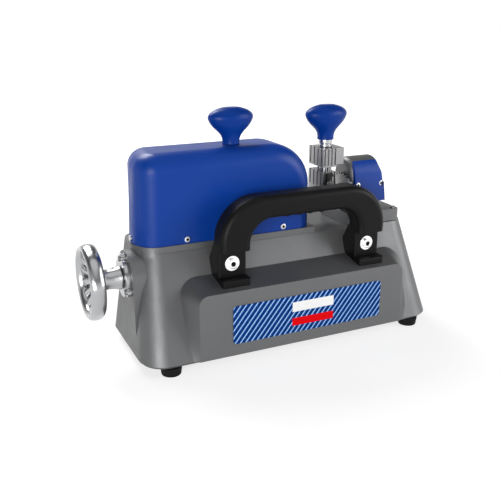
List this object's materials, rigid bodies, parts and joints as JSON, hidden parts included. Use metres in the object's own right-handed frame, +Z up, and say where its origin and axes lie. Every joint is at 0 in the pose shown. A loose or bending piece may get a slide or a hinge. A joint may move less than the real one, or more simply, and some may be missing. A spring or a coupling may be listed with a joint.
{
  "type": "key duplicating machine",
  "caption": "Bench key duplicating machine: flared casting with carry handle, feed handwheel, hooded ram, screw vise and a belt-driven cutter head.",
  "frame": {"origin": "Middle of the bounding box's bottom, on the floor between the feet.", "axes": "+Z up, +X towards the handwheel, +Y towards the rear panel with the carry handle."},
  "size_m": [0.38, 0.1424, 0.2468],
  "materials": {
    "casting": "satin",
    "blue_shell": "gloss",
    "blue_knob": "gloss",
    "handle": "satin",
    "rubber": "matte",
    "chrome": "polished",
    "steel": "machined",
    "plate": "satin",
    "label": "printed",
    "bronze": "machined",
    "aluminium": "machined",
    "belt": "matte",
    "board": "satin",
    "black_plastic": "satin"
  },
  "bodies": {
    "frame": {"base_casting": "casting", "base_plate": "plate", "feet": "rubber", "foot_screws": "steel", "plate_screws": "steel", "label_plate": "label", "hood": "blue_shell", "hood_screws": "steel", "carry_handle": "handle", "handle_washers": "chrome", "handle_screws": "chrome", "feed_bush": "chrome", "bush_screws": "steel", "feed_end_block": "aluminium", "ram_way": "aluminium", "ram_gibs": "steel", "lock_bush": "bronze", "head_plinth": "casting", "plinth_screws": "steel", "head_cowl": "casting", "head_cover": "blue_shell", "cover_screws": "steel", "spindle_bearings": "steel", "drive_belt": "belt", "motor": "plate", "motor_bracket": "steel", "board_standoffs": "bronze", "control_board": "board", "power_inlet": "black_plastic"},
    "wheel": {"handwheel": "chrome", "wheel_set_screw": "steel", "feed_screw": "steel"},
    "ram": {"ram": "steel", "feed_yoke": "aluminium", "feed_nut": "bronze", "lower_jaw": "steel", "jaw_pins": "steel", "stop_pin": "steel"},
    "upper_jaw": {"upper_jaw": "steel"},
    "clamp": {"clamp_screw": "chrome", "clamp_knob": "blue_knob"},
    "key_stop": {"key_stop": "black_plastic"},
    "lock": {"lock_screw": "steel", "lock_knob": "blue_knob"},
    "spindle": {"spindle": "steel", "cutter": "steel", "cutter_nut": "steel", "spindle_knob": "chrome", "spindle_pulley": "aluminium"},
    "motor_rotor": {"motor_shaft": "steel", "motor_pulley": "aluminium"},
    "rocker": {"power_rocker": "black_plastic"}
  },
  "joints": [
    {"name": "handwheel_turn", "type": "hinge", "parent": "frame", "child": "wheel", "pos_m": [0.17, -0.0012, 0.086], "axis": [1, 0, 0], "range_deg": [-540, 1260]},
    {"name": "ram_slide", "type": "slide", "parent": "frame", "child": "ram", "axis": [1, 0, 0], "range_m": [-0.006, 0.014]},
    {"name": "clamp_turn", "type": "hinge", "parent": "ram", "child": "clamp", "pos_m": [-0.083, -0.0057, 0.2], "axis": [0, 0, 1], "range_deg": [-864, 0]},
    {"name": "upper_jaw_slide", "type": "slide", "parent": "ram", "child": "upper_jaw", "axis": [0, 0, 1], "range_m": [-0.0048, 0]},
    {"name": "lock_turn", "type": "hinge", "parent": "frame", "child": "lock", "pos_m": [0.027, -0.0102, 0.211], "axis": [0, 0, 1], "range_deg": [0, 90]},
    {"name": "spindle_spin", "type": "hinge", "parent": "frame", "child": "spindle", "pos_m": [-0.12601, 0.0008, 0.15], "axis": [1, 0, 0], "continuous": true},
    {"name": "motor_spin", "type": "hinge", "parent": "frame", "child": "motor_rotor", "pos_m": [-0.12601, 0.0008, 0.054], "axis": [1, 0, 0], "continuous": true},
    {"name": "key_stop_swing", "type": "hinge", "parent": "ram", "child": "key_stop", "pos_m": [-0.07801, 0.0113, 0.1618], "axis": [0, 1, 0], "range_deg": [-60, 25]},
    {"name": "rocker_tilt", "type": "hinge", "parent": "frame", "child": "rocker", "pos_m": [-0.18471, -0.0127, 0.034], "axis": [0, 1, 0], "range_deg": [-5, 5]}
  ],
  "couplings": [
    {"joint": "ram_slide", "follows": "handwheel_turn", "m_per_rad": 0.00063662},
    {"joint": "upper_jaw_slide", "follows": "clamp_turn", "m_per_rad": 0.00031831},
    {"joint": "motor_spin", "follows": "spindle_spin", "ratio": 1}
  ]
}
